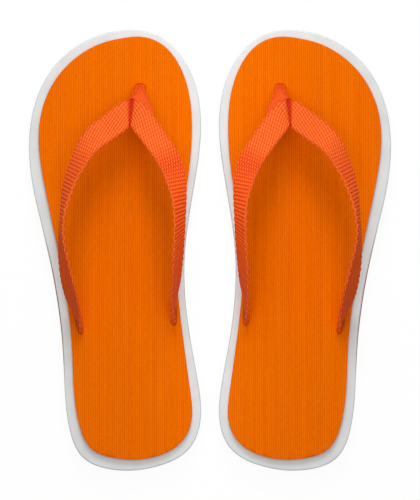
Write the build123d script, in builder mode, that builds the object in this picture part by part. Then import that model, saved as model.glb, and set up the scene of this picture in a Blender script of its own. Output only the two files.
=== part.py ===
"""A pair of thong sandals (flip-flops): a laminated foam sole each, with a Y strap of flat webbing.

Millimetres, +Z up, +Y towards the toes, +X towards the right foot. The origin is on the ground in the
middle of the pair's bounding box. The left sandal is modelled in place, and the right one mirrors it.
"""
import os
from math import cos, radians, sin, tan

from build123d import *

os.makedirs("parts", exist_ok=True)

# ---------------------------------------------------------------- driving dimensions
sole_length = 265.2
sole_width = 103.2
pair_gap = 10.8            # clear space between the two soles

outsole_thickness = 4.5
midsole_thickness = 7.5
foam_thickness = 2.2       # coloured foam under the footbed's cloth
cover_thickness = 0.8      # ribbed cloth that the foot stands on
rim_width = 5.6            # white border of the midsole left bare round the footbed
waist_lip = 0.6            # outsole showing from under the midsole along the outer waist
midsole_edge_radius = 0.9
cover_edge_radius = 0.35

webbing_width = 16.0
webbing_thickness = 1.9
webbing_edge_share = 0.42  # edge rounding, as a share of the strip's thickness
gathered_width = 13.0      # webbing squeezed together where it enters the sole
gathered_thickness = 2.8
strap_rise = 37.5          # crest of the strap's middle line above the footbed
mitre_angle = 32.0         # slant of the seam against a square cut of the webbing

post_width = 6.6           # toe post at the footbed: webbing rolled up into a thick cord
post_depth = 5.6
post_edge_share = 0.48
flap_clearance = 0.3       # flap of the toe post under the strap arms

slot_clearance = 0.25      # webbing in its slot, all round
bead_height = 0.9          # heat-sealed end of the webbing under its plug
bead_overhang = 0.9
bead_clearance = 0.3

toe_plug_diameter = 18.0
side_plug_length = 20.0
side_plug_width = 9.6
plug_thickness = 2.4
plug_inset = 0.3           # plugs lie this far above the ground
plug_clearance = 0.2
plug_edge_radius = 0.5

thread_diameter = 0.8
thread_clearance = 0.05
seam_thread_inset = 1.95   # thread lies in the valley of the seam, short of both its ends
stitch_pitch = 2.6
stitch_count = 4

groove_width = 1.3
groove_depth = 1.0
groove_pitch = 8.5
groove_angle = 24.0        # slope of each arm of the chevrons
tread_border = 6.5         # plain band round the tread
shortest_groove = 10.0
plug_land = 2.0            # plain ring of tread round each plug

# ---------------------------------------------------------------- derived dimensions
half_width = sole_width / 2
half_length = sole_length / 2
sandal_x = -(pair_gap + sole_width) / 2
foot_half_width = half_width - rim_width
foot_half_length = half_length - rim_width

midsole_top = outsole_thickness + midsole_thickness
foam_top = midsole_top + foam_thickness
footbed_top = foam_top + cover_thickness
recess_depth = plug_inset + plug_thickness
dish_depth = bead_height + plug_inset
through_all = 2 * footbed_top

# The sole's plan, from the toe round the big-toe side, the heel and the little-toe side: shares of
# the half width and half length, then the bare rim and the outsole's lip there, as shares of theirs.
plan_points = [
    (0.174, 1.000, 0.82, 0), (0.630, 0.940, 0.62, 0), (0.909, 0.780, 0.85, 0), (0.999, 0.575, 0.97, 0),
    (0.945, 0.355, 0.80, 0), (0.808, -0.030, 0.75, 0), (0.885, -0.430, 0.76, 0), (0.978, -0.635, 0.95, 0),
    (0.990, -0.785, 0.97, 0), (0.870, -0.897, 1.13, 0), (0.465, -0.983, 1.10, 0), (0.000, -0.997, 1.30, 0),
    (-0.370, -0.943, 1.37, 0), (-0.545, -0.790, 1.14, 0), (-0.616, -0.461, 1.08, 1), (-0.790, -0.010, 1.18, 1),
    (-0.970, 0.310, 1.28, 0), (-0.985, 0.580, 0.98, 0), (-0.733, 0.824, 1.00, 0), (-0.314, 0.956, 0.97, 0),
]

# Where the webbing enters the footbed: place as shares of the footbed's half sizes, direction of the slot.
toe_entry = (0.324, 0.765, 0)
inner_entry = (0.764, -0.301, -89)
outer_entry = (-0.470, -0.343, -76)

# Middle line of each strap arm, from the seam to its entry: place as shares of the footbed's half
# sizes, height as a share of the strap's rise, bearing and lean of the line across the webbing from
# its outer edge to its inner edge, and how far the webbing is gathered there.
seam_station = (0.211, 0.646, 0.475, -94, 17, 0)
inner_stations = [
    (0.303, 0.629, 0.547, -112, 15, 0), (0.403, 0.583, 0.613, -142, 19, 0),
    (0.525, 0.521, 0.688, -145, 24, 0), (0.662, 0.449, 0.768, -148, 28, 0),
    (0.756, 0.385, 0.848, -157, 33, 0), (0.808, 0.318, 0.933, -167, 45, 0),
    (0.845, 0.236, 0.989, -165, 59, 0), (0.849, 0.147, 0.981, -150, 62, 0),
    (0.835, 0.028, 0.869, -134, 55, 0), (0.812, -0.092, 0.664, -123, 47, 0),
    (0.787, -0.203, 0.373, -111, 37, 0.3), (0.768, -0.268, 0.160, -95, 28, 0.9),
]
outer_stations = [
    (0.129, 0.630, 0.512, -78, 15, 0), (0.013, 0.598, 0.560, -64, 14, 0),
    (-0.122, 0.561, 0.619, -58, 17, 0), (-0.257, 0.519, 0.720, -52, 30, 0),
    (-0.366, 0.471, 0.816, -44, 43, 0), (-0.460, 0.405, 0.893, -33, 53, 0),
    (-0.549, 0.329, 0.947, -28, 62, 0), (-0.614, 0.243, 0.992, -28, 71, 0),
    (-0.652, 0.154, 1.000, -33, 79, 0), (-0.664, 0.052, 0.944, -42, 73, 0),
    (-0.634, -0.055, 0.800, -42, 54, 0), (-0.586, -0.162, 0.613, -41, 40, 0),
    (-0.533, -0.259, 0.325, -48, 30, 0.5), (-0.493, -0.315, 0.125, -64, 22, 0.95),
]

# Middle line of the toe post, from the end of its flap under the seam to the footbed. The two
# stations of the flap lie below the arms by one webbing and its clearance.
flap_drop = (webbing_thickness + flap_clearance) / strap_rise
post_stations = [
    (0.258, 0.636, 0.484 - flap_drop, -36, 18, 0), (0.362, 0.683, 0.450 - flap_drop, -36, 17, 0),
    (0.338, 0.712, 0.299, -20, 9, 0.65), (0.328, 0.741, 0.173, -6, 3, 0.9),
]

# ---------------------------------------------------------------- planes and outlines
def level(height):
    """Horizontal plane of the left sandal at a height above the ground."""
    return Plane((sandal_x, 0, height))


def entry_plane(entry, height):
    """Horizontal plane at a webbing entry, with X along its slot."""
    u, v, bearing = entry
    place = (sandal_x + u * foot_half_width, v * foot_half_length, height)
    return Plane(place, x_dir=(cos(radians(bearing)), sin(radians(bearing)), 0), z_dir=(0, 0, 1))


def plan_outline(band=0, rim=0, lip=0):
    """Points of the sole's plan, moved inwards by an even band and by their shares of the rim and lip."""
    points = []
    for i, (u, v, rim_share, lip_share) in enumerate(plan_points):
        before = plan_points[i - 1]
        after = plan_points[(i + 1) % len(plan_points)]
        along = Vector((after[0] - before[0]) * half_width, (after[1] - before[1]) * half_length)
        inwards = Vector(along.Y, -along.X).normalized()
        inset = band + rim_share * rim + lip_share * lip
        points.append(Vector(u * half_width, v * half_length) + inwards * inset)
    return points


def entry_slots(height, clearance=slot_clearance):
    """Sketch of the three webbing slots at a height."""
    with BuildSketch(level(height)) as slots:
        for (u, v, bearing), length, width, edge_share in (
            (toe_entry, post_width, post_depth, post_edge_share),
            (inner_entry, gathered_width, gathered_thickness, webbing_edge_share),
            (outer_entry, gathered_width, gathered_thickness, webbing_edge_share),
        ):
            with Locations(Location((u * foot_half_width, v * foot_half_length), bearing)):
                RectangleRounded(length + 2 * clearance, width + 2 * clearance, width * edge_share + clearance)
    return slots.sketch


# ---------------------------------------------------------------- webbing sections
def rib_vector(bearing, lean):
    """Unit vector across the webbing, from its outer edge to its inner edge."""
    return Vector(
        cos(radians(lean)) * cos(radians(bearing)),
        cos(radians(lean)) * sin(radians(bearing)),
        sin(radians(lean)),
    )


def station_centre(station):
    """Point of a strap's middle line."""
    return Vector(
        sandal_x + station[0] * foot_half_width,
        station[1] * foot_half_length,
        footbed_top + station[2] * strap_rise,
    )


def seam_plane():
    """Upright plane that both arms are cut to at the seam, with X along the seam."""
    bearing = radians(seam_station[3])
    return Plane(
        station_centre(seam_station),
        x_dir=rib_vector(seam_station[3], seam_station[4]),
        z_dir=(-sin(bearing), cos(bearing), 0),
    )


def strip_sections(stations, entry, gathered, seam=None):
    """Plane, width and thickness of each section of a strip of webbing, down to the footbed.

    The lines across the strip may be slanted, which makes a section wider than the webbing."""
    sections = []
    landing = entry_plane(entry, footbed_top)
    line = [station_centre(station) for station in stations] + [landing.origin]
    if seam:
        sections.append((seam, webbing_width / cos(radians(mitre_angle)), webbing_thickness))
        line.insert(0, seam.origin)
    else:
        line.insert(0, line[0])
    for i, (_, _, _, bearing, lean, gather) in enumerate(stations, start=1):
        rib = rib_vector(bearing, lean)
        along = (line[i + 1] - line[i - 1]).normalized()
        skew = along.dot(rib)
        width = webbing_width + (gathered[0] - webbing_width) * gather
        thickness = webbing_thickness + (gathered[1] - webbing_thickness) * gather
        square = Plane(line[i], x_dir=rib, z_dir=along - rib * skew)
        sections.append((square, width / (1 - skew**2) ** 0.5, thickness))
    sections.append((landing, *gathered))
    return sections


def finish(part, name):
    """Labels a left-hand piece, mirrors it for the right, and writes both."""
    part.label = "left_" + name
    export_step(part, "parts/left_" + name + ".step")
    other = mirror(part, about=Plane.YZ)
    other.label = "right_" + name
    export_step(other, "parts/right_" + name + ".step")


# ---------------------------------------------------------------- stitching of the seam
# The thread lies in the valley between the arms and goes down through them and the flap.
top_run = webbing_thickness / 2 + thread_diameter
bottom_run = -(1.5 * webbing_thickness + 2 * flap_clearance + thread_diameter)
seam = seam_plane()
upright = Plane(seam.origin, x_dir=seam.x_dir, z_dir=-seam.y_dir)
seam_thread_length = webbing_width / cos(radians(mitre_angle)) - 2 * seam_thread_inset
stitch_start = -seam_thread_length / 2
with BuildPart() as apex_stitching:
    for height, length in ((top_run, seam_thread_length), (bottom_run, stitch_pitch * stitch_count)):
        run = Plane(seam.origin + seam.x_dir * stitch_start + upright.z_dir * height, z_dir=seam.x_dir)
        with BuildSketch(run):
            Circle(thread_diameter / 2)
        extrude(amount=length)
    with BuildSketch(upright.offset(bottom_run)):
        with Locations((stitch_start + stitch_pitch * stitch_count / 2, 0)):
            with GridLocations(stitch_pitch, 0, stitch_count, 1):
                Circle(thread_diameter / 2)
    extrude(amount=top_run - bottom_run)
finish(apex_stitching.part, "apex_stitching")

with BuildPart() as thread_paths:
    with BuildSketch(upright.offset(bottom_run)):
        with Locations((stitch_start + stitch_pitch * stitch_count / 2, 0)):
            with GridLocations(stitch_pitch, 0, stitch_count, 1):
                Circle(thread_diameter / 2 + thread_clearance)
    extrude(amount=top_run - bottom_run)

# ---------------------------------------------------------------- webbing: two arms and the toe post
arm_gather = (gathered_width, gathered_thickness)
post_gather = (post_width, post_depth)
for name, stations, entry, gathered, edge_share, cut in (
    ("strap_inner", inner_stations, inner_entry, arm_gather, webbing_edge_share, seam),
    ("strap_outer", outer_stations, outer_entry, arm_gather, webbing_edge_share, seam),
    ("toe_post", post_stations, toe_entry, post_gather, post_edge_share, None),
):
    end_width, end_thickness = gathered
    with BuildPart() as strip:
        for plane, width, thickness in strip_sections(stations, entry, gathered, cut):
            with BuildSketch(plane):
                RectangleRounded(width, thickness, thickness * edge_share)
        loft()
        with BuildSketch(entry_plane(entry, footbed_top)):
            RectangleRounded(end_width, end_thickness, end_thickness * edge_share)
        extrude(amount=-(footbed_top - dish_depth))
        with BuildSketch(entry_plane(entry, dish_depth)):
            RectangleRounded(
                end_width + 2 * bead_overhang, end_thickness + 2 * bead_overhang, end_thickness * edge_share
            )
        extrude(amount=-bead_height)
        add(thread_paths.part, mode=Mode.SUBTRACT)
    finish(strip.part, name)

# ---------------------------------------------------------------- anchor plugs
for name, entry, (end_width, end_thickness), edge_share in (
    ("toe_plug", toe_entry, post_gather, post_edge_share),
    ("inner_plug", inner_entry, arm_gather, webbing_edge_share),
    ("outer_plug", outer_entry, arm_gather, webbing_edge_share),
):
    with BuildPart() as plug:
        with BuildSketch(entry_plane(entry, plug_inset)):
            if name == "toe_plug":
                Circle(toe_plug_diameter / 2)
            else:
                SlotOverall(side_plug_length, side_plug_width)
        extrude(amount=plug_thickness)
        fillet(plug.edges().group_by(Axis.Z)[0], plug_edge_radius)
        with BuildSketch(entry_plane(entry, plug_inset)):
            RectangleRounded(
                end_width + 2 * slot_clearance,
                end_thickness + 2 * slot_clearance,
                end_thickness * edge_share + slot_clearance,
            )
        extrude(amount=plug_thickness, mode=Mode.SUBTRACT)
        with BuildSketch(entry_plane(entry, plug_inset)):
            RectangleRounded(
                end_width + 2 * bead_overhang + 2 * bead_clearance,
                end_thickness + 2 * bead_overhang + 2 * bead_clearance,
                end_thickness * edge_share + bead_clearance,
            )
        extrude(amount=bead_height, mode=Mode.SUBTRACT)
    finish(plug.part, name)

# ---------------------------------------------------------------- sole, from the ground up
chevron_drop = half_width * tan(radians(groove_angle))
chevron_depth = groove_width / cos(radians(groove_angle))
with BuildSketch() as chevrons:
    with GridLocations(0, groove_pitch, 1, int(sole_length / groove_pitch)):
        Polygon(
            (-half_width, 0),
            (0, chevron_drop),
            (half_width, 0),
            (half_width, -chevron_depth),
            (0, chevron_drop - chevron_depth),
            (-half_width, -chevron_depth),
            align=None,
        )

with BuildSketch(level(0)) as tread:
    with BuildLine():
        Spline(*plan_outline(band=tread_border), periodic=True)
    make_face()
    add(chevrons.sketch, mode=Mode.INTERSECT)
    for name, entry in (("toe_plug", toe_entry), ("inner_plug", inner_entry), ("outer_plug", outer_entry)):
        with Locations(Location((entry[0] * foot_half_width, entry[1] * foot_half_length), entry[2])):
            if name == "toe_plug":
                Circle(toe_plug_diameter / 2 + plug_land, mode=Mode.SUBTRACT)
            else:
                SlotOverall(
                    side_plug_length + 2 * plug_land, side_plug_width + 2 * plug_land, mode=Mode.SUBTRACT
                )

with BuildSketch(level(0)) as plug_recesses:
    with Locations(Location((toe_entry[0] * foot_half_width, toe_entry[1] * foot_half_length), toe_entry[2])):
        Circle(toe_plug_diameter / 2 + plug_clearance)
    for entry in (inner_entry, outer_entry):
        with Locations(Location((entry[0] * foot_half_width, entry[1] * foot_half_length), entry[2])):
            SlotOverall(side_plug_length + 2 * plug_clearance, side_plug_width + 2 * plug_clearance)

with BuildPart() as outsole:
    with BuildSketch(level(0)):
        with BuildLine():
            Spline(*plan_outline(), periodic=True)
        make_face()
    extrude(amount=outsole_thickness)
    extrude(plug_recesses.sketch, amount=recess_depth, mode=Mode.SUBTRACT)
    extrude(entry_slots(footbed_top), amount=-through_all, mode=Mode.SUBTRACT)
    grooves = [face for face in tread.sketch.faces() if face.area > shortest_groove * groove_width]
    extrude(Sketch(grooves), amount=groove_depth, mode=Mode.SUBTRACT)
finish(outsole.part, "outsole")

with BuildPart() as midsole:
    with BuildSketch(level(outsole_thickness)):
        with BuildLine():
            Spline(*plan_outline(lip=waist_lip), periodic=True)
        make_face()
    extrude(amount=midsole_thickness)
    fillet(midsole.faces().sort_by(Axis.Z)[-1].edges(), midsole_edge_radius)
    extrude(entry_slots(footbed_top), amount=-through_all, mode=Mode.SUBTRACT)
finish(midsole.part, "midsole")

with BuildPart() as footbed_foam:
    with BuildSketch(level(midsole_top)):
        with BuildLine():
            Spline(*plan_outline(rim=rim_width), periodic=True)
        make_face()
    extrude(amount=foam_thickness)
    extrude(entry_slots(footbed_top), amount=-through_all, mode=Mode.SUBTRACT)
finish(footbed_foam.part, "footbed_foam")

with BuildPart() as footbed_cover:
    with BuildSketch(level(foam_top)):
        with BuildLine():
            Spline(*plan_outline(rim=rim_width), periodic=True)
        make_face()
    extrude(amount=cover_thickness)
    fillet(footbed_cover.faces().sort_by(Axis.Z)[-1].edges(), cover_edge_radius)
    extrude(entry_slots(footbed_top), amount=-through_all, mode=Mode.SUBTRACT)
finish(footbed_cover.part, "footbed_cover")
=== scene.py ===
"""Pair of thong sandals: foam soles with a ribbed cloth footbed and a Y strap of woven webbing."""

from math import cos, pi, radians, sin, sqrt

import bpy
import numpy as np
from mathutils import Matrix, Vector


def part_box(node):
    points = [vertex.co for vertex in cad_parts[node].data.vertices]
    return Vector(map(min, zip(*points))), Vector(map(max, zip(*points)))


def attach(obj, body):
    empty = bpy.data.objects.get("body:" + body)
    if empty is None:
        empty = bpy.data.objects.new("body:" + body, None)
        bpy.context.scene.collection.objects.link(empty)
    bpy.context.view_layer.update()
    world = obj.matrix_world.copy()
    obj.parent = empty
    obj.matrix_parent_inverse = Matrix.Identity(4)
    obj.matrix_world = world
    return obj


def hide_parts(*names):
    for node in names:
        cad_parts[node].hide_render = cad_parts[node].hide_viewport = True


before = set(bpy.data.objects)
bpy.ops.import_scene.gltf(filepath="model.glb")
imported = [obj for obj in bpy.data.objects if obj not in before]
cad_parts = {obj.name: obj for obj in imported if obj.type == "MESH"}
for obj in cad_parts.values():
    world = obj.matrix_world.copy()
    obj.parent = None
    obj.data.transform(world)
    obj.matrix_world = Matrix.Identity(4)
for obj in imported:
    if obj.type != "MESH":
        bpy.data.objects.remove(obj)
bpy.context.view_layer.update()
bpy.ops.object.select_all(action="DESELECT")

MM = 0.001
SIDES = ("left", "right")

# ---------------------------------------------------------------- places read from the frame
toe_plug, inner_plug = (sum(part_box("left_" + name), Vector()) / 2 for name in ("toe_plug", "inner_plug"))
footbed_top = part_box("left_footbed_cover")[1].z
ground = 0.0

# Where the webbing enters the footbed: shares of the footbed's half sizes, and the slot's direction.
TOE_ENTRY = (0.324, 0.765, 0)
INNER_ENTRY = (0.764, -0.301, -89)
OUTER_ENTRY = (-0.470, -0.343, -76)
foot_half_width = (inner_plug.x - toe_plug.x) / (INNER_ENTRY[0] - TOE_ENTRY[0])
foot_half_length = toe_plug.y / TOE_ENTRY[1]
sandal_x = toe_plug.x - TOE_ENTRY[0] * foot_half_width

# ---------------------------------------------------------------- webbing
STRAP_RISE = 37.5 * MM
WEBBING_WIDTH = 16.0 * MM
WEBBING_THICKNESS = 1.9 * MM
EDGE_SHARE = 0.42             # depth of the rounded selvedge, as a share of the thickness
POST_EDGE_SHARE = 0.5
GATHERED = (13.0 * MM, 2.8 * MM)
POST = (6.6 * MM, 5.6 * MM)   # webbing rolled up into a cord
SWELL = 0.3 * MM              # the gathered webbing fills its slot
CREASE = 0.6 * MM             # lengthwise fold where an arm is gathered
POST_CREASE = 0.12 * MM
CREASE_REACH = 0.2            # half width of the fold, as a share of the width
TUCK = 0.6 * MM               # depth of the valley along the seam
TUCK_REACH = 0.9 * MM
MITRE = radians(32)
FLAP_CLEARANCE = 0.3 * MM
FLAP_DROP = (WEBBING_THICKNESS + FLAP_CLEARANCE) / STRAP_RISE
DISH = 1.2 * MM               # the webbing ends this far above the ground, in its sealed bead
BEAD_HEIGHT = 0.9 * MM
BEAD_OVERHANG = 0.9 * MM
BEAD_TONE = 0.35              # relief that the melted bead is coloured as
# Spread and drop down the bead, as shares of its overhang and height.
BEAD_PROFILE = ((1.0, 0.0), (1.0, 0.8), (0.6, 1.0))

FACE_COLUMNS = 17             # warp yarns across each face
EDGE_COLUMNS = 2              # warp yarns round each selvedge
COLUMN_STEPS = 4
PICK = 2.3 * MM               # spacing of the weft
PICK_STEPS = 8
RELIEF = 0.7 * MM             # depth of the weave
POST_RELIEF = 0.3 * MM
GATHERED_RELIEF = 0.6         # share of the relief left where the webbing is fully gathered
YARN_ROUNDNESS = 0.95
YARN_UNDER = 0.05             # height of a warp yarn where it passes under, as a share of the weave
WEFT_HEIGHT = 0.3
SELVEDGE_HEIGHT = 0.45        # the selvedge is woven tighter, so its gaps are shallow
POST_TONE = (0.3, 0.35)       # the rolled-up cord is coloured with less of the painted highlight on the yarns' crowns
# How far the floats join up into diagonals, near the seam and far from it: they lean towards the
# webbing's inner edge above 0, and towards its outer edge below.
INNER_DIAGONAL = (1.0, -0.8)
OUTER_DIAGONAL = (1.0, 0.6)
PLY_DIP = (0.28, 0.6)         # dip between the floats of one diagonal, near the seam and far from it
SEAM_PAINTED_SHADE = (0.9, 1.6 * MM)   # painted shade: the yarns are coloured deeper red into the seam's valley: how much, and within what reach
BIAS = (30 * MM, 55 * MM)     # stretch in which the weave changes, and the weft turns to the strip's slant

# Middle line of each strip, as shares of the footbed's half sizes and of the strap's rise, then the
# bearing and lean of the line across the webbing in degrees, and how far the webbing is gathered.
SEAM = (0.211, 0.646, 0.475, -94, 17, 0)
INNER = [
    (0.303, 0.629, 0.547, -112, 15, 0), (0.403, 0.583, 0.613, -142, 19, 0),
    (0.525, 0.521, 0.688, -145, 24, 0), (0.662, 0.449, 0.768, -148, 28, 0),
    (0.756, 0.385, 0.848, -157, 33, 0), (0.808, 0.318, 0.933, -167, 45, 0),
    (0.845, 0.236, 0.989, -165, 59, 0), (0.849, 0.147, 0.981, -150, 62, 0),
    (0.835, 0.028, 0.869, -134, 55, 0), (0.812, -0.092, 0.664, -123, 47, 0),
    (0.787, -0.203, 0.373, -111, 37, 0.3), (0.768, -0.268, 0.160, -95, 28, 0.9),
]
OUTER = [
    (0.129, 0.630, 0.512, -78, 15, 0), (0.013, 0.598, 0.560, -64, 14, 0),
    (-0.122, 0.561, 0.619, -58, 17, 0), (-0.257, 0.519, 0.720, -52, 30, 0),
    (-0.366, 0.471, 0.816, -44, 43, 0), (-0.460, 0.405, 0.893, -33, 53, 0),
    (-0.549, 0.329, 0.947, -28, 62, 0), (-0.614, 0.243, 0.992, -28, 71, 0),
    (-0.652, 0.154, 1.000, -33, 79, 0), (-0.664, 0.052, 0.944, -42, 73, 0),
    (-0.634, -0.055, 0.800, -42, 54, 0), (-0.586, -0.162, 0.613, -41, 40, 0),
    (-0.533, -0.259, 0.325, -48, 30, 0.5), (-0.493, -0.315, 0.125, -64, 22, 0.95),
]
TOE_POST = [
    (0.258, 0.636, 0.484 - FLAP_DROP, -36, 18, 0), (0.362, 0.683, 0.450 - FLAP_DROP, -36, 17, 0),
    (0.338, 0.712, 0.299, -20, 9, 0.65), (0.328, 0.741, 0.173, -6, 3, 0.9),
]


def unit(rows):
    """Rows of vectors at unit length."""
    rows = np.asarray(rows, float)
    return rows / np.linalg.norm(rows, axis=-1, keepdims=True)


def rib_vector(bearing, lean):
    """Direction across the webbing, from its outer edge to its inner edge."""
    level = cos(radians(lean))
    return np.array((level * cos(radians(bearing)), level * sin(radians(bearing)), sin(radians(lean))))


def station_centre(station):
    """Point of a strip's middle line."""
    return np.array((
        sandal_x + station[0] * foot_half_width,
        station[1] * foot_half_length,
        footbed_top + station[2] * STRAP_RISE,
    ))


def smooth_through(knots, values, at):
    """Cubic curve through values at the knots, evaluated at other places."""
    slopes = np.gradient(values, knots, axis=0)
    i = np.clip(np.searchsorted(knots, at, side="right") - 1, 0, len(knots) - 2)
    span = knots[i + 1] - knots[i]
    t = ((at - knots[i]) / span)[:, None]
    span = span[:, None]
    return (
        (2 * t**3 - 3 * t**2 + 1) * values[i] + (t**3 - 2 * t**2 + t) * span * slopes[i]
        + (3 * t**2 - 2 * t**3) * values[i + 1] + (t**3 - t**2) * span * slopes[i + 1]
    )


def strip_line(stations, entry, gathered, at_seam):
    """Sections of a strip as rows: centre, line across, face normal, width, thickness and gather."""
    u, v, slot = entry
    landing = np.array((sandal_x + u * foot_half_width, v * foot_half_length, footbed_top))
    centres = [station_centre(station) for station in stations]
    line = [station_centre(SEAM) if at_seam else centres[0], *centres, landing]
    rows = []
    for i, (_, _, _, bearing, lean, gather) in enumerate(stations, start=1):
        rib = rib_vector(bearing, lean)
        along = unit(line[i + 1] - line[i - 1])
        skew = along @ rib
        width = (WEBBING_WIDTH + (gathered[0] - WEBBING_WIDTH) * gather) / sqrt(1 - skew**2)
        thickness = WEBBING_THICKNESS + (gathered[1] - WEBBING_THICKNESS) * gather
        rows.append((*line[i], *rib, *unit(np.cross(along, rib)), width, thickness, gather))
    down = np.array((0, 0, -1.0))
    across = np.array((cos(radians(slot)), sin(radians(slot)), 0))
    rows.append((*landing, *across, *np.cross(down, across), *gathered, 1))
    if at_seam:
        rib = rib_vector(*SEAM[3:5])
        sideways = np.cross((0, 0, 1), rib)
        sideways *= np.sign(sideways @ (centres[0] - line[0]))
        width = WEBBING_WIDTH / cos(MITRE)
        rows.insert(0, (*line[0], *rib, *unit(np.cross(sideways, rib)), width, WEBBING_THICKNESS, 0))
    return np.array(rows)


def crown(across):
    """Round top of a yarn, 1 on its middle line and low at its edges, where across is -1 and 1."""
    return np.sqrt(np.clip(1 - YARN_ROUNDNESS * across**2, 0, 1))


def weave_height(column, pick, diagonal, ply_dip):
    """Height of the weave, 0 to 1: floats in a checkerboard, whose plies lean and join up into diagonals."""
    half = FACE_COLUMNS + EDGE_COLUMNS
    place = column % half
    hand = np.where(column < half, 1, -1) * (1 if diagonal > 0 else -1)
    warp = np.floor(column)
    over = 0.5 + 0.5 * np.cos(pi * (pick + warp))
    over = over * over * (3 - 2 * over)
    weft = 0.5 + 0.5 * np.cos(2 * pi * pick)
    yarn = crown(2 * (column - warp) - 1) * (YARN_UNDER + (1 - YARN_UNDER) * over)
    plain = np.maximum(yarn, WEFT_HEIGHT * weft)
    plain = np.where(place > FACE_COLUMNS, SELVEDGE_HEIGHT + (1 - SELVEDGE_HEIGHT) * plain, plain)
    line = (pick + hand * (column - 0.5)) / 2
    nearest = np.floor(line + 0.5)
    dip = ply_dip * (0.5 - 0.5 * np.cos(2 * pi * (pick - nearest)))
    joined = crown(2 * (line - nearest)) * (1 - dip)
    share = abs(diagonal) * np.clip(2 * np.minimum(place, FACE_COLUMNS - place), 0, 1)
    return plain + share * (joined - plain)


def section_ring(width, thickness, edge_share):
    """Points and outward normals round a strip's section, by warp yarn: faces flat, selvedges round."""
    half = FACE_COLUMNS + EDGE_COLUMNS
    steps = np.arange(0, 2 * half, 1 / COLUMN_STEPS)
    edge = thickness * edge_share
    flat = width / 2 - edge
    far = steps >= half
    place = np.where(far, steps - half, steps)
    sign = np.where(far, -1.0, 1.0)
    turn = np.clip((place - FACE_COLUMNS) / EDGE_COLUMNS, 0, 1) * pi
    on_face = place < FACE_COLUMNS
    x = np.where(on_face, flat * (1 - 2 * place / FACE_COLUMNS), -flat - edge * np.sin(turn))
    y = np.where(on_face, thickness / 2, thickness / 2 * np.cos(turn))
    nx = np.where(on_face, 0.0, -np.sin(turn))
    ny = np.where(on_face, 1.0, np.cos(turn))
    return steps, x * sign, y * sign, nx * sign, ny * sign


def tube_faces(rings, sides):
    """Faces between rings of points that turn anticlockwise about the way on, with both ends closed."""
    first = np.arange(sides)
    after = (first + 1) % sides
    faces = [
        face
        for i in range(rings - 1)
        for face in (np.column_stack((first, after, after + sides, first + sides)) + i * sides).tolist()
    ]
    return [*faces, first[::-1].tolist(), (first + (rings - 1) * sides).tolist()]


def woven_strip(stations, entry, gathered, edge_share, relief_depth, crease_depth, diagonals, at_seam):
    """Vertices, faces, column and pick places and relief of a strip, down to its bead in the outsole. The
    relief also carries the painted shade into the seam.
    """
    rows = strip_line(stations, entry, gathered, at_seam)
    knots = np.r_[0, np.cumsum(np.linalg.norm(np.diff(rows[:, :3], axis=0), axis=1))]
    spacing = PICK / PICK_STEPS
    at = np.linspace(0, knots[-1], int(knots[-1] / spacing) + 1)
    sections = smooth_through(knots, rows, at)
    run = footbed_top - DISH
    drops = np.linspace(0, run, int(run / spacing))[1:]
    below = np.repeat(sections[-1:], len(drops), axis=0)
    below[:, 2] -= drops
    sections = np.vstack((sections, below))
    centre, rib = sections[:, :3], unit(sections[:, 3:6])
    normal = sections[:, 6:9]
    normal = unit(normal - rib * np.sum(normal * rib, axis=1, keepdims=True))
    along = unit(np.gradient(centre, axis=0))
    skew = np.sum(along * rib, axis=1)
    travelled = np.r_[0, np.cumsum(np.linalg.norm(np.diff(centre, axis=0), axis=1))]

    slant = skew * np.interp(travelled, BIAS, (1, 0))
    diagonal, dip = np.interp(travelled, BIAS, diagonals), np.interp(travelled, BIAS, PLY_DIP)

    points, columns, picks, reliefs = [], [], [], []
    for i, section in enumerate(sections):
        width, thickness, gather = section[9:]
        swell = 2 * SWELL * max(0, gather) ** 4
        column, x, y, nx, ny = section_ring(width + swell, thickness + swell, edge_share)
        pick = (travelled[i] + x * slant[i]) / PICK
        relief = weave_height(column, pick, diagonal[i], dip[i])
        crease = crease_depth * gather * np.exp(-((x / (CREASE_REACH * width)) ** 2)) * np.abs(ny)
        tuck = np.exp(-((travelled[i] / TUCK_REACH) ** 2)) if at_seam else 0.0
        upward = np.clip(ny * np.sign(normal[i][2]), 0, 1)
        kept = 1 - (1 - GATHERED_RELIEF) * gather
        sunk = (1 - relief) * relief_depth * kept + crease + TUCK * tuck * upward
        # painted shade: the relief that colours the webbing is lowered into the seam's valley
        if at_seam:
            relief = relief * (1 - SEAM_PAINTED_SHADE[0] * np.exp(-((travelled[i] / SEAM_PAINTED_SHADE[1]) ** 2)))
        x, y = x - nx * sunk, y - ny * sunk
        points.append(centre[i] + np.outer(x, rib[i]) + np.outer(y, normal[i]))
        columns.append(column)
        picks.append(pick)
        # the post's relief is squeezed into the POST_TONE range of the painted highlight and shade
        reliefs.append(relief if at_seam else POST_TONE[0] + POST_TONE[1] * relief)
    # the melted bead: the last section spreads, runs smooth for the bead's height and closes
    for spread, drop in BEAD_PROFILE:
        width, thickness = (size + 2 * BEAD_OVERHANG * spread for size in gathered)
        column, x, y, _, _ = section_ring(width, thickness, edge_share)
        middle = centre[-1] - np.array((0, 0, BEAD_HEIGHT * drop))
        points.append(middle + np.outer(x, rib[-1]) + np.outer(y, normal[-1]))
        columns.append(column)
        picks.append(np.full(len(column), travelled[-1] / PICK))
        reliefs.append(np.full(len(column), BEAD_TONE))
    faces = tube_faces(len(points), len(points[0]))
    return np.vstack(points), faces, np.hstack(columns), np.hstack(picks), np.hstack(reliefs)


def mirrored(points, faces):
    """The same shape for the other foot."""
    return points * np.array((-1, 1, 1)), [face[::-1] for face in faces]


def new_piece(name, points, faces):
    """Smooth-shaded mesh object at the origin."""
    mesh = bpy.data.meshes.new(name)
    mesh.from_pydata(points.tolist(), [], faces)
    mesh.validate()
    piece = bpy.data.objects.new(name, mesh)
    bpy.context.scene.collection.objects.link(piece)
    mesh.polygons.foreach_set("use_smooth", [True] * len(mesh.polygons))
    return piece


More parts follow.
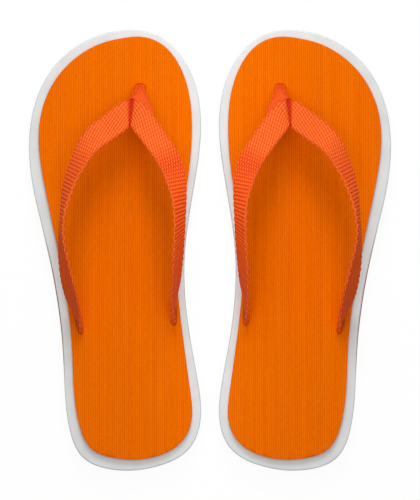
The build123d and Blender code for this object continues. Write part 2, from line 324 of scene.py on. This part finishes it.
def point_attribute(piece, name, values):
    """Value per vertex that a material reads by name."""
    layer = piece.data.attributes.new(name, "FLOAT", "POINT")
    layer.data.foreach_set("value", np.asarray(values, np.float32))


def place_piece(piece, side, node, material):
    """Finishes a piece that stands for a node of the frame."""
    piece.data.materials.append(material)
    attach(piece, side + "_sandal")
    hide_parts(f"{side}_{node}")


# ---------------------------------------------------------------- materials
def linear(code):
    """Linear colour of an sRGB hex value."""
    parts = [int(code[i:i + 2], 16) / 255 for i in (1, 3, 5)]
    return (*(c / 12.92 if c <= 0.04045 else ((c + 0.055) / 1.055) ** 2.4 for c in parts), 1)


def add_node(tree, kind, settings=None, stops=(), **links):
    """Adds a node with its settings, the stops of its ramp, and a socket or value for each input."""
    node = tree.nodes.new("ShaderNode" + kind)
    for key, value in (settings or {}).items():
        setattr(node, key, value)
    for i, (place, code) in enumerate(stops):
        elements = node.color_ramp.elements
        element = elements[i] if i < len(elements) else elements.new(place)
        element.position = place
        element.color = linear(code)
    for key, value in links.items():
        numbered = key[0] == "i" and key[1:].isdigit()
        socket = node.inputs[int(key[1:]) if numbered else key.replace("_", " ")]
        if isinstance(value, bpy.types.NodeSocket):
            tree.links.new(value, socket)
        else:
            socket.default_value = value
    return node


def new_material(name, roughness, ior, specular=0.5):
    """Material with its surface shader, whose constants sit on its own sockets."""
    material = bpy.data.materials.new(name)
    material.use_nodes = True
    shader = material.node_tree.nodes["Principled BSDF"]
    shader.inputs["Roughness"].default_value = roughness
    shader.inputs["IOR"].default_value = ior
    shader.inputs["Specular IOR Level"].default_value = specular
    return material, material.node_tree, shader


def per_mm(period):
    """Texture scale for a feature that repeats every so many millimetres."""
    return 1 / (period * MM)


FILAMENT_SCALE = (7, 0.35, 1)  # streaks to a warp yarn, and to a pick


def webbing_finish():
    """Polyester webbing, piece-dyed, with painted highlight on the yarn crowns and painted shade, deep red,
    in the gaps between them.
    """
    material, tree, shader = new_material("woven_polyester_webbing", 0.7, ior=1.54, specular=0.12)
    relief = add_node(tree, "Attribute", {"attribute_name": "relief"}).outputs["Fac"]
    place = add_node(tree, "UVMap", {"uv_map": "weave"}).outputs[0]
    yarns = add_node(tree, "Mapping", Vector=place, Scale=FILAMENT_SCALE).outputs[0]
    filaments = add_node(tree, "TexNoise", Vector=yarns, Scale=1.0, Detail=2.0).outputs["Fac"]
    # painted shade in the weave's gaps and painted highlight on its crowns, read from the relief attribute
    painted_shade_colours = [(0.0, "#BE1200"), (0.45, "#E84E0E"), (0.9, "#FF7A2E")]
    colour = add_node(tree, "ValToRGB", stops=painted_shade_colours, i0=relief).outputs[0]
    streak_colours = [(0.3, "#E8E0DC"), (0.7, "#FFFFFF")]
    streaks = add_node(tree, "ValToRGB", stops=streak_colours, i0=filaments).outputs[0]
    multiply = {"data_type": "RGBA", "blend_type": "MULTIPLY"}
    mixed = add_node(tree, "Mix", multiply, i0=1.0, i6=colour, i7=streaks).outputs[2]
    tree.links.new(mixed, shader.inputs["Base Color"])
    bump = add_node(tree, "Bump", Strength=0.35, Distance=0.08 * MM, Height=filaments)
    tree.links.new(bump.outputs[0], shader.inputs["Normal"])
    return material


def thread_finish():
    """Bonded polyester sewing thread, a shade redder than the webbing."""
    material, tree, shader = new_material("bonded_sewing_thread", 0.5, ior=1.54, specular=0.2)
    place = add_node(tree, "TexCoord").outputs["Object"]
    fibres = add_node(tree, "TexNoise", Vector=place, Scale=per_mm(0.5), Detail=2.0).outputs["Fac"]
    colour = add_node(tree, "ValToRGB", stops=[(0.3, "#C4240A"), (0.7, "#DC3A14")], i0=fibres)
    tree.links.new(colour.outputs[0], shader.inputs["Base Color"])
    return material


def ribbed_cloth_finish():
    """Ribbed cotton canvas: bright lengthwise cords with painted shade, deep orange, in the valleys between
    them, over a fine cross weft.
    """
    material, tree, shader = new_material("ribbed_cotton_canvas", 0.95, ior=1.47, specular=0.02)
    place = add_node(tree, "TexCoord").outputs["Object"]
    height = add_node(tree, "SeparateXYZ", Vector=place).outputs["Z"]
    valley, top = footbed_top - RIB_DEPTH, footbed_top
    height = add_node(tree, "MapRange", Value=height, From_Min=valley, From_Max=top).outputs[0]
    cords = add_node(tree, "Mapping", Vector=place, Scale=(per_mm(1.3), per_mm(60), 0)).outputs[0]
    tone = add_node(tree, "TexNoise", Vector=cords, Scale=1.0, Detail=3.0, Roughness=0.6).outputs["Fac"]
    weft = add_node(tree, "Mapping", Vector=place, Scale=(per_mm(2.2), per_mm(0.7), 0)).outputs[0]
    slubs = add_node(tree, "TexNoise", Vector=weft, Scale=1.0, Detail=2.0).outputs["Fac"]
    # painted shade: darker, deeper orange towards the valleys between the ribs
    depth, streaks, cross = (
        add_node(tree, "ValToRGB", stops=stops, i0=factor).outputs[0]
        for factor, stops in (
            (height, [(0.0, "#DC5600"), (0.7, "#F77802")]),
            (tone, [(0.3, "#F6F0EC"), (0.7, "#FFFFFF")]),
            (slubs, [(0.3, "#F4EEE8"), (0.7, "#FFFFFF")]),
        )
    )
    multiply = {"data_type": "RGBA", "blend_type": "MULTIPLY"}
    colour = add_node(tree, "Mix", multiply, i0=1.0, i6=depth, i7=streaks).outputs[2]
    colour = add_node(tree, "Mix", multiply, i0=1.0, i6=colour, i7=cross).outputs[2]
    tree.links.new(colour, shader.inputs["Base Color"])
    bump = add_node(tree, "Bump", Strength=0.4, Distance=0.1 * MM, Height=slubs)
    tree.links.new(bump.outputs[0], shader.inputs["Normal"])
    return material


def foam_finish(name, dark, light, roughness, cell):
    """Moulded EVA foam: matte, with closed cells that mottle the colour a little."""
    material, tree, shader = new_material(name, roughness, ior=1.48, specular=0.35)
    place = add_node(tree, "TexCoord").outputs["Object"]
    cells = add_node(tree, "TexVoronoi", Vector=place, Scale=per_mm(cell)).outputs["Distance"]
    clouds = add_node(tree, "TexNoise", Vector=place, Scale=per_mm(14), Detail=3.0).outputs["Fac"]
    grain = add_node(tree, "Math", {"operation": "MULTIPLY_ADD"}, i0=cells, i1=0.25, i2=clouds).outputs[0]
    colour = add_node(tree, "ValToRGB", stops=[(0.35, dark), (0.75, light)], i0=grain)
    tree.links.new(colour.outputs[0], shader.inputs["Base Color"])
    bump = add_node(tree, "Bump", Strength=0.35, Distance=0.1 * MM, Height=cells)
    tree.links.new(bump.outputs[0], shader.inputs["Normal"])
    return material


def plug_finish():
    """Injection-moulded polypropylene with a fine spark-eroded texture."""
    material, tree, shader = new_material("moulded_polypropylene", 0.42, ior=1.49)
    place = add_node(tree, "TexCoord").outputs["Object"]
    grain = add_node(tree, "TexNoise", Vector=place, Scale=per_mm(0.6), Detail=2.0).outputs["Fac"]
    colour = add_node(tree, "ValToRGB", stops=[(0.3, "#DC5008"), (0.7, "#E65A0C")], i0=grain)
    tree.links.new(colour.outputs[0], shader.inputs["Base Color"])
    bump = add_node(tree, "Bump", Strength=0.25, Distance=0.05 * MM, Height=grain)
    tree.links.new(bump.outputs[0], shader.inputs["Normal"])
    return material


# ---------------------------------------------------------------- straps
webbing = webbing_finish()
for node, *strip in (
    ("strap_inner", INNER, INNER_ENTRY, GATHERED, EDGE_SHARE, RELIEF, CREASE, INNER_DIAGONAL, True),
    ("strap_outer", OUTER, OUTER_ENTRY, GATHERED, EDGE_SHARE, RELIEF, CREASE, OUTER_DIAGONAL, True),
    ("toe_post", TOE_POST, TOE_ENTRY, POST, POST_EDGE_SHARE, POST_RELIEF, POST_CREASE, (1.0, 1.0), False),
):
    points, faces, columns, picks, reliefs = woven_strip(*strip)
    for side in SIDES:
        shape = (points, faces) if side == "left" else mirrored(points, faces)
        strap = new_piece(f"{side}_{node}_webbing", *shape)
        point_attribute(strap, "relief", reliefs)
        weave = strap.data.uv_layers.new(name="weave")
        corners = np.empty(len(strap.data.loops), np.int32)
        strap.data.loops.foreach_get("vertex_index", corners)
        weave.data.foreach_set("uv", np.column_stack((columns, picks))[corners].ravel())
        place_piece(strap, side, node, webbing)

# ---------------------------------------------------------------- stitching of the seam
THREAD = 0.7 * MM
PLY_DEPTH = 0.2               # hollow between the plies, as a share of the thread's radius
PLY_TURN = 1.6 * MM           # length in which the plies turn once
THREAD_LENGTH = 14.6 * MM
STITCH = 2.6 * MM
STITCH_DIP = 0.35 * MM
BOTTOM_REACH = 0.25           # the lower thread ends over the flap, this share past the seam's middle
THREAD_STEP = 0.2 * MM
THREAD_SIDES = 12


def twisted_tube(path, side_way):
    """Three-ply thread along a path, with closed ends."""
    along = unit(np.gradient(path, axis=0))
    travelled = np.r_[0, np.cumsum(np.linalg.norm(np.diff(path, axis=0), axis=1))]
    angle = np.arange(THREAD_SIDES) * 2 * pi / THREAD_SIDES
    up = unit(np.cross(along, side_way))
    rings = []
    for centre, turn, lift in zip(path, travelled / PLY_TURN * 2 * pi, up):
        radius = THREAD / 2 * (1 - PLY_DEPTH * (0.5 - 0.5 * np.cos(3 * (angle - turn))))
        sideways = np.outer(radius * np.cos(angle), side_way)
        rings.append(centre + sideways + np.outer(radius * np.sin(angle), lift))
    return np.vstack(rings), tube_faces(len(rings), THREAD_SIDES)


def stitched_seam():
    """Top and bottom threads of the lockstitch along the seam."""
    rib = rib_vector(*SEAM[3:5])
    up = unit(np.array((0, 0, 1.0)) - rib * rib[2])
    centre = station_centre(SEAM)
    steps = np.arange(-THREAD_LENGTH / 2, THREAD_LENGTH / 2, THREAD_STEP)
    wave = 0.5 + 0.5 * np.cos(2 * pi * (steps + THREAD_LENGTH / 2) / STITCH)
    top = WEBBING_THICKNESS / 2 - TUCK + THREAD / 2
    bottom = -(1.5 * WEBBING_THICKNESS + FLAP_CLEARANCE + THREAD / 2)
    side_way = unit(np.cross(up, rib))
    shapes = []
    for height, dip, reach in ((top, -STITCH_DIP, 1.0), (bottom, STITCH_DIP, BOTTOM_REACH)):
        kept = steps <= reach * THREAD_LENGTH / 2
        path = centre + np.outer(steps[kept], rib) + np.outer((height + dip * wave)[kept], up)
        shapes.append(twisted_tube(path, side_way))
    (points, faces), (more_points, more_faces) = shapes
    return np.vstack((points, more_points)), faces + [[i + len(points) for i in face] for face in more_faces]


thread = thread_finish()
points, faces = stitched_seam()
for side in SIDES:
    shape = (points, faces) if side == "left" else mirrored(points, faces)
    place_piece(new_piece(f"{side}_apex_stitching_thread", *shape), side, "apex_stitching", thread)

# ---------------------------------------------------------------- footbed cloth
RIB_PITCH = 1.29 * MM
RIB_DEPTH = 0.28 * MM
RIB_STEPS = 6                 # grid lines to each rib
ROW_PITCH = 3.0 * MM
SLAB = 3.0 * MM               # blank of cloth, trimmed to the cover's own thickness
MARGIN = 2.0 * MM
RIB_WIDTHS = (0.88, 1.12)     # uneven ribs, as shares of the pitch
RIB_HEIGHTS = (0.7, 1)        # of one rib against the next
ROW_HEIGHTS = (0.85, 1)       # along one rib


def ribbed_blank(low, high):
    """Grid of uneven lengthwise ribs over the cover's box, extruded down into a closed slab."""
    chance = np.random.default_rng(11)
    edges = [low.x - MARGIN]
    while edges[-1] < high.x + MARGIN:
        edges.append(edges[-1] + RIB_PITCH * chance.uniform(*RIB_WIDTHS))
    edges = np.array(edges)
    ribs = len(edges) - 1
    rows = int((high.y - low.y + 2 * MARGIN) / ROW_PITCH)
    bpy.ops.mesh.primitive_grid_add(x_subdivisions=ribs * RIB_STEPS, y_subdivisions=rows, size=1)
    blank = bpy.context.object
    points = np.empty(len(blank.data.vertices) * 3)
    blank.data.vertices.foreach_get("co", points)
    points = points.reshape(-1, 3)
    step = np.rint((points[:, 0] + 0.5) * ribs * RIB_STEPS).astype(int)
    row = np.rint((points[:, 1] + 0.5) * rows).astype(int)
    rib = np.minimum(step // RIB_STEPS, ribs - 1)
    share = step / RIB_STEPS - rib
    height = chance.uniform(*RIB_HEIGHTS, ribs)[rib]
    height = height * chance.uniform(*ROW_HEIGHTS, (ribs, rows + 1))[rib, row]
    points[:, 0] = edges[rib] + share * (edges[rib + 1] - edges[rib])
    points[:, 1] = low.y - MARGIN + (points[:, 1] + 0.5) * rows * ROW_PITCH
    points[:, 2] = high.z - RIB_DEPTH * (1 - crown(2 * share - 1) * height)
    blank.data.vertices.foreach_set("co", points.ravel())
    bpy.ops.object.mode_set(mode="EDIT")
    bpy.ops.mesh.select_all(action="SELECT")
    bpy.ops.mesh.extrude_region_move(TRANSFORM_OT_translate={"value": (0, 0, -SLAB)})
    bpy.ops.mesh.select_all(action="SELECT")
    bpy.ops.mesh.normals_make_consistent(inside=False)
    bpy.ops.object.mode_set(mode="OBJECT")
    return blank


def ribbed_cover(side, node, material):
    """Cloth of the footbed: the ribbed blank trimmed by the cover's own shape."""
    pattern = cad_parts[f"{side}_{node}"].copy()
    pattern.data = pattern.data.copy()
    pattern.parent = None
    bpy.context.scene.collection.objects.link(pattern)
    bpy.ops.object.select_all(action="DESELECT")
    bpy.context.view_layer.objects.active = pattern
    pattern.select_set(True)
    bpy.ops.object.mode_set(mode="EDIT")
    bpy.ops.mesh.select_all(action="SELECT")
    bpy.ops.mesh.remove_doubles(threshold=0.001 * MM)
    bpy.ops.object.mode_set(mode="OBJECT")
    cloth = ribbed_blank(*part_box(f"left_{node}"))
    if side == "right":
        bpy.ops.transform.mirror(constraint_axis=(True, False, False))
        bpy.ops.object.transform_apply(location=True, rotation=True, scale=True)
        bpy.ops.object.mode_set(mode="EDIT")
        bpy.ops.mesh.select_all(action="SELECT")
        bpy.ops.mesh.normals_make_consistent(inside=False)
        bpy.ops.object.mode_set(mode="OBJECT")
    cloth.name = f"{side}_{node}_cloth"
    trim = cloth.modifiers.new("trim", "BOOLEAN")
    trim.operation = "INTERSECT"
    trim.solver = "MANIFOLD"
    trim.object = pattern
    bpy.ops.object.modifier_apply(modifier=trim.name)
    bpy.data.objects.remove(pattern)
    cloth.data.materials.clear()
    bpy.ops.object.shade_smooth_by_angle(angle=radians(40))
    place_piece(cloth, side, node, material)


canvas = ribbed_cloth_finish()
for side in SIDES:
    ribbed_cover(side, "footbed_cover", canvas)

# ---------------------------------------------------------------- carried-over pieces
finishes = {
    # the outsole's orange EVA is given a darker, browner colour, as painted shade on its side edge
    "outsole": foam_finish("moulded_eva_rubber", "#A84A1C", "#BE5A26", 0.6, 0.5),
    "midsole": foam_finish("white_eva_foam", "#D2D9DA", "#DBE2E3", 0.7, 0.45),
    "footbed_foam": foam_finish("orange_eva_foam", "#DE5C06", "#EE6C0C", 0.75, 0.45),
}
plug = plug_finish()
for side in SIDES:
    for node, material in finishes.items():
        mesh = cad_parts[f"{side}_{node}"].data
        mesh.materials.clear()
        mesh.materials.append(material)
    for node in ("toe_plug", "inner_plug", "outer_plug"):
        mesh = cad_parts[f"{side}_{node}"].data
        mesh.materials.clear()
        mesh.materials.append(plug)

# ---------------------------------------------------------------- floor, light and camera
PAPER_GREY = (0.5, 0.5, 0.5, 1)
PAPER_GLOW = 1.07             # the paper's white, a little over 1 so that its far parts stay white
GLOW_SHARE = 0.88             # the rest shows the object's shadow
FLOOR_SIZE = 6
FILL_COLOUR = (1, 0.86, 0.8, 1)
FILL_STRENGTH = 0.34
WHITE = (1, 1, 1, 1)


def seen_directly(tree):
    """1 where the eye, a mirror image or a view through glass sees the surface, else 0."""
    ray = add_node(tree, "LightPath").outputs
    seen = ray["Is Camera Ray"]
    for way in ("Is Glossy Ray", "Is Transmission Ray"):
        seen = add_node(tree, "Math", {"operation": "MAXIMUM"}, i0=seen, i1=ray[way]).outputs[0]
    return seen


def floor_finish():
    """Matte white paper: near white to the eye, with the object's shadow kept on it."""
    material = bpy.data.materials.new("white_paper")
    material.use_nodes = True
    tree = material.node_tree
    tree.nodes.clear()
    paper = add_node(tree, "BsdfDiffuse", Color=PAPER_GREY)
    glow = add_node(tree, "Emission", Color=WHITE, Strength=PAPER_GLOW)
    times = {"operation": "MULTIPLY"}
    share = add_node(tree, "Math", times, i0=seen_directly(tree), i1=GLOW_SHARE).outputs[0]
    mixed = add_node(tree, "MixShader", i0=share, i1=paper.outputs[0], i2=glow.outputs[0])
    add_node(tree, "OutputMaterial", Surface=mixed.outputs[0])
    return material


bpy.ops.mesh.primitive_plane_add(size=FLOOR_SIZE, location=(0, 0, ground))
floor = bpy.context.object
floor.name = "floor"
floor.data.materials.append(floor_finish())

scene = bpy.context.scene
scene.view_settings.view_transform = "Standard"

world = bpy.data.worlds.new("studio")
scene.world = world
world.use_nodes = True
tree = world.node_tree
tree.nodes.clear()
fill = add_node(tree, "Background", Color=FILL_COLOUR, Strength=FILL_STRENGTH)
white = add_node(tree, "Background", Color=WHITE, Strength=1.0)
backdrop = add_node(tree, "MixShader", i0=seen_directly(tree), i1=fill.outputs[0], i2=white.outputs[0])
add_node(tree, "OutputWorld", Surface=backdrop.outputs[0])


LAMP_WHITE = (0.96, 1.0, 1.01)


def soft_box(name, place, aim, width, height, power):
    """Rectangular area lamp aimed at a point."""
    light = bpy.data.lights.new(name, "AREA")
    light.shape = "RECTANGLE"
    light.size = width
    light.size_y = height
    light.energy = power
    light.color = LAMP_WHITE
    lamp = bpy.data.objects.new(name, light)
    scene.collection.objects.link(lamp)
    lamp.location = place
    lamp.visible_camera = False
    lamp.rotation_euler = (Vector(aim) - Vector(place)).to_track_quat("-Z", "Y").to_euler()


soft_box("key", (0, 0.9, 0.72), (0, 0.02, 0.02), 0.45, 0.45, 6.6)
soft_box("top", (0, 0.1, 1.0), (0, 0.05, 0), 0.7, 0.7, 3.9)
for side, way in zip(SIDES, (-1, 1)):
    soft_box(side + "_middle", (0, 0.04, 0.075), (way * 0.08, 0.04, 0.02), 0.4, 0.03, 0.018)

CAMERA_HEIGHT = 2.0
camera = bpy.data.objects.new("camera", bpy.data.cameras.new("camera"))
camera.data.lens = 238.05
camera.data.clip_end = 20
camera.location = (0, 0.15 * MM, CAMERA_HEIGHT)
scene.collection.objects.link(camera)
scene.camera = camera
